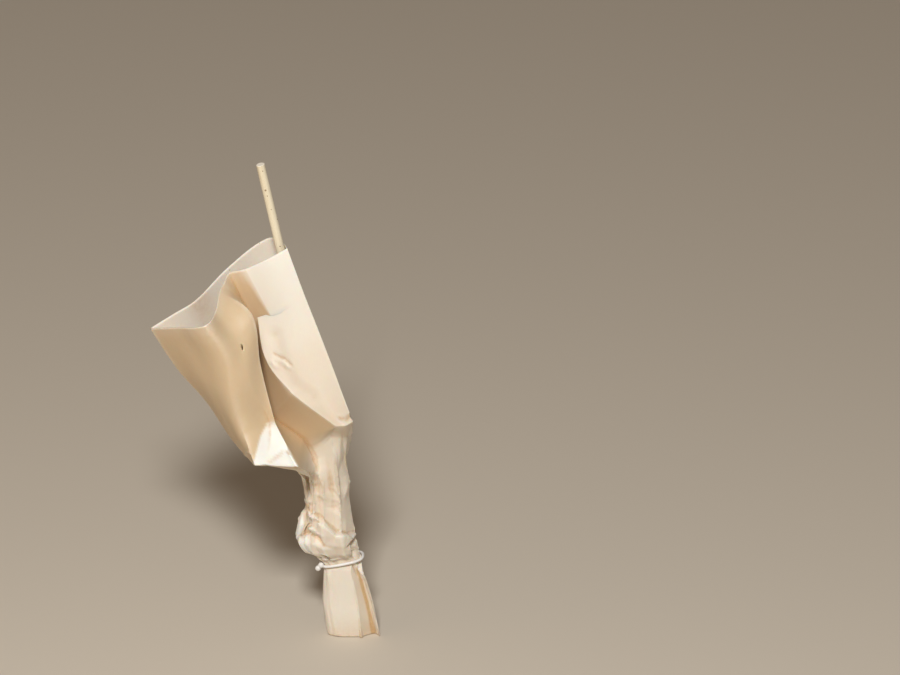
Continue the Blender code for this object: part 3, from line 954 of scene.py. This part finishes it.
def writeWear(mesh, grid, normals, places, out, foldShade):
    bend = bendOf(grid, normals)
    worn = ramp(bend, wear["ridge"])
    worn *= np.interp(places, [pouchRows - 1.5, pouchRows], [wear["pouchShare"], 1])[:, None]
    worn[0] = wear["rim"]
    deep = ramp(-out, wear["deep"]) * (places > pouchRows - 1)[:, None]
    soil = np.clip(1 - grid[..., 2] / mm / wear["soilHeight"], 0, 1) ** 2
    toGroove = np.abs(columns - columnOf("panelEdge") - sleeve["steps"]["panelEdge"])
    groove = np.clip(1 - toGroove / wear["grooveColumns"], 0, 1)
    # soil near the ground is real; the hollows, deep places and groove get painted shade
    dustAndShade = ramp(-bend, wear["hollow"]) * wear["hollowShare"] + soil * wear["soilShare"]
    dustAndShade += deep * wear["deepShare"] + groove * np.interp(places - pouchRows, *wear["groove"])[:, None]
    painting = {
        "creaseWear": worn,
        "dustAndFoldShade": np.clip(dustAndShade + foldShade, 0, 1),
        "paintedShadeTan": paintedShadeTanOf(places),
        "paintedLightPale": paintedLightOf(asSeen(grid), normals, places),
    }
    for name, values in painting.items():
        layer = mesh.attributes.new(name, "FLOAT", "POINT")
        layer.data.foreach_set("value", values.reshape(-1).astype(np.float32))


def buildSleeve(board, cutEdge):
    grid, places = sleeveGrid()
    rows, around = grid.shape[:2]
    normals = gridNormals(grid)
    seen = asSeen(grid)
    # the front of the bulge takes its own facets, the rest of the gathered board the scattered ones
    onBulge = np.interp(places - pouchRows, *crumple["bulgeRows"])[:, None]
    onBulge = onBulge * np.clip(facing(normals) / crumple["bulgeFacing"], 0, 1)
    out = crumpled(places) * (1 - onBulge * crumple["bulgeShare"]) + bulgeRelief(seen) * onBulge
    out += pressCreases(seen, normals)
    foldShade = paintedFoldShade(seen, normals)
    grid = grid + normals * out[..., None] * mm
    flat = grid.reshape(-1, 3)
    flat[:] = [keepOffCane(point) for point in flat]
    normals = gridNormals(grid)
    torn = tearSlit(grid, normals)
    mesh = bpy.data.meshes.new("paperSleeve")
    index = np.arange(rows * around).reshape(rows, around)
    right = np.roll(index, -1, axis=1)
    faces = np.stack([index[:-1], index[1:], right[1:], right[:-1]], axis=-1).reshape(-1, 4)
    mesh.from_pydata(flat.tolist(), [], np.delete(faces, torn, axis=0).tolist())
    mesh.shade_smooth()
    mesh.set_sharp_from_angle(angle=math.radians(sleeve["sharpAngle"]))
    writeWear(mesh, grid, normals, places, out, foldShade)
    piece = linkPiece("paperSleeve", mesh, board, cutEdge)
    wall = piece.modifiers.new("boardThickness", "SOLIDIFY")
    wall.thickness = sleeve["thickness"] * mm
    wall.offset = -1
    wall.material_offset_rim = 1
    finishPiece(piece, "sleeve")
    print("sleeve made:", rows, "rows of", around, "points")


# The tie: a loop of coated wire round the neck, and its two ends twisted into round white tips at the left.
tie = {
    "wireRadius": 1.05,
    "gap": 0.4,
    "points": 120,
    "sides": 14,
    "stray": 0.12,
    "strayScale": 160,
    "tips": [(0.4, 7, 1.7), (-2, 6.5, -1.2)],   # from the loop's left end
    "tipRadius": 2.2,
    "strandPoints": 24,
    "twists": 1.2,
    "twistRadius": 0.9,
    "seed": 7,
}


def signedPower(tree, value, power):
    size = maths(tree, "POWER", maths(tree, "ABSOLUTE", value), power)
    return times(tree, maths(tree, "SIGN", value), size)


def buildTie(wire):
    neck = sleeve["gathered"]["neck"]
    spread = tie["wireRadius"] + tie["gap"]
    width, depth = neck["half"][0] + spread, neck["half"][1] + spread
    leftEnd = toWorld(neck["middle"]) + toWorld((-width, 0, -width * sleeve["neckTilt"]))
    sizes = {
        "Middle": tuple(toWorld(neck["middle"])),
        "Half Width": width * mm,
        "Half Depth": depth * mm,
        "Oval Power": 2 / sleeve["squareness"],
        "Tilt": sleeve["neckTilt"],
        "Points": tie["points"],
        "Sides": tie["sides"],
        "Wire Radius": tie["wireRadius"] * mm,
        "Stray": tie["stray"] * mm,
        "Left End": tuple(leftEnd),
        "Tip Radius": tie["tipRadius"] * mm,
        "Strand Points": tie["strandPoints"],
        "Twist Radius": tie["twistRadius"] * mm,
        "Twists": tie["twists"],
        "Seed": tie["seed"],
    }
    for index, tip in enumerate(tie["tips"]):
        sizes["Tip " + str(index + 1)] = tuple(leftEnd + toWorld(tip))
    tree, given = newGrowth("tieGrowth", sizes)
    place = shapeOf(tree, "InputPosition")
    profile = shapeOf(tree, "CurvePrimitiveCircle",
                      {"Resolution": given["Sides"], "Radius": given["Wire Radius"]})
    ring = shapeOf(tree, "CurvePrimitiveCircle", {"Resolution": given["Points"], "Radius": 1})
    across, deep = [
        times(tree, signedPower(tree, partOf(tree, place, axis), given["Oval Power"]), given[half])
        for axis, half in (("X", "Half Width"), ("Y", "Half Depth"))
    ]
    oval = addNode(tree, "ShaderNodeCombineXYZ",
                   {0: across, 1: deep, 2: times(tree, across, given["Tilt"])}).outputs[0]
    oval = vectorMaths(tree, "ADD", oval, given["Middle"])
    ring = shapeOf(tree, "SetPosition", {0: ring, "Position": oval})
    ring = shapeOf(tree, "ResampleCurve", {"Curve": ring, "Count": given["Points"]})
    stray = solidNoise(tree, place, given["Seed"], tie["strayScale"], 1)["Color"]
    stray = vectorMaths(tree, "SCALE", vectorMaths(tree, "SUBTRACT", stray, (0.5, 0.5, 0.5)), given["Stray"])
    ring = shapeOf(tree, "SetPosition", {0: ring, "Offset": stray})
    pieces = [shapeOf(tree, "CurveToMesh", {"Curve": ring, "Profile Curve": profile})]
    # each strand winds round the other on its way to its tip
    along = addNode(tree, "GeometryNodeSplineParameter").outputs["Factor"]
    turned = times(tree, along, given["Twists"], 2 * math.pi)
    swell = times(tree, maths(tree, "SINE", times(tree, along, math.pi)), given["Twist Radius"])
    for index in range(len(tie["tips"])):
        tip = given["Tip " + str(index + 1)]
        strand = shapeOf(tree, "CurvePrimitiveLine", {"Start": given["Left End"], "End": tip})
        strand = shapeOf(tree, "ResampleCurve", {"Curve": strand, "Count": given["Strand Points"]})
        turn = maths(tree, "ADD", turned, index * math.pi)
        wound = addNode(tree, "ShaderNodeCombineXYZ", {1: times(tree, maths(tree, "COSINE", turn), swell),
                                                       2: times(tree, maths(tree, "SINE", turn), swell)})
        strand = shapeOf(tree, "SetPosition", {0: strand, "Offset": wound.outputs[0]})
        pieces.append(shapeOf(tree, "CurveToMesh",
                              {"Curve": strand, "Profile Curve": profile, "Fill Caps": True}))
        ball = shapeOf(tree, "MeshIcoSphere", {"Radius": given["Tip Radius"], "Subdivisions": 4})
        pieces.append(shapeOf(tree, "Transform", {0: ball, "Translation": tip}))
    join = addNode(tree, "GeometryNodeJoinGeometry")
    for made in pieces:
        tree.links.new(made, join.inputs[0])
    mesh = grow(tree, sizes, join.outputs[0], wire)
    mesh.shade_smooth()
    piece = linkPiece("wireTie", mesh)
    finishPiece(piece, "tie")
    print("tie made:", len(mesh.polygons), "faces")


studio = {
    "floorColour": (0.68, 0.62, 0.53),
    "sky": (1, 0.80, 0.62),
    "skyStrength": 0.15,
    "floorCorners": [(-6, -6, 0), (6, -6, 0), (6, 8, 0), (-6, 8, 0)],
}


def buildStudio():
    mesh = bpy.data.meshes.new("studioFloor")
    mesh.from_pydata(studio["floorCorners"], [], [(0, 1, 2, 3)])
    material = newMaterial("paleFloor", Roughness=0.8, Base_Color=(*studio["floorColour"], 1))[0]
    floor = linkPiece("studioFloor", mesh, material)
    world = bpy.data.worlds.new("studioSky")
    world.use_nodes = True
    back = world.node_tree.nodes["Background"]
    back.inputs["Color"].default_value = (*studio["sky"], 1)
    back.inputs["Strength"].default_value = studio["skyStrength"]
    bpy.context.scene.world = world
    print("studio made")


# Lights: turn is the angle to the right of the camera, rise the angle above level. Both shine at the aim.
lights = {
    "key": {"turn": -4, "rise": 42, "distance": 2.6, "size": 0.40, "power": 55.5,
            "colour": (1, 0.985, 0.955)},
    "fill": {"turn": -60, "rise": 22, "distance": 2.2, "size": 1.8, "power": 3.4,
             "colour": (1, 0.66, 0.38)},
}
lightAim = (-0.07, 0, 0.18)


def placeLights():
    for name, light in lights.items():
        turn, rise = math.radians(light["turn"]), math.radians(light["rise"])
        away = np.array([math.sin(turn) * math.cos(rise), -math.cos(turn) * math.cos(rise), math.sin(rise)])
        data = bpy.data.lights.new(name, "AREA")
        data.size = light["size"]
        data.energy = light["power"]
        data.color = light["colour"]
        lamp = addObject(name, data)
        lamp.location = away * light["distance"] + lightAim
        lamp.rotation_euler = (math.pi / 2 - rise, 0, turn)
    print("lights placed")


placeCamera()
board = makeBoard("peachBoard", boardLook["colour"], boardLook["warmPatch"])
cutEdge = makeBoard("boardCutEdge", boardLook["cutEdge"], boardLook["wornCrease"])
wood = makeWood()
wire = makeWire()
buildCane(wood)
buildSleeve(board, cutEdge)
buildTie(wire)
buildStudio()
placeLights()
bpy.context.scene.view_settings.view_transform = "Standard"
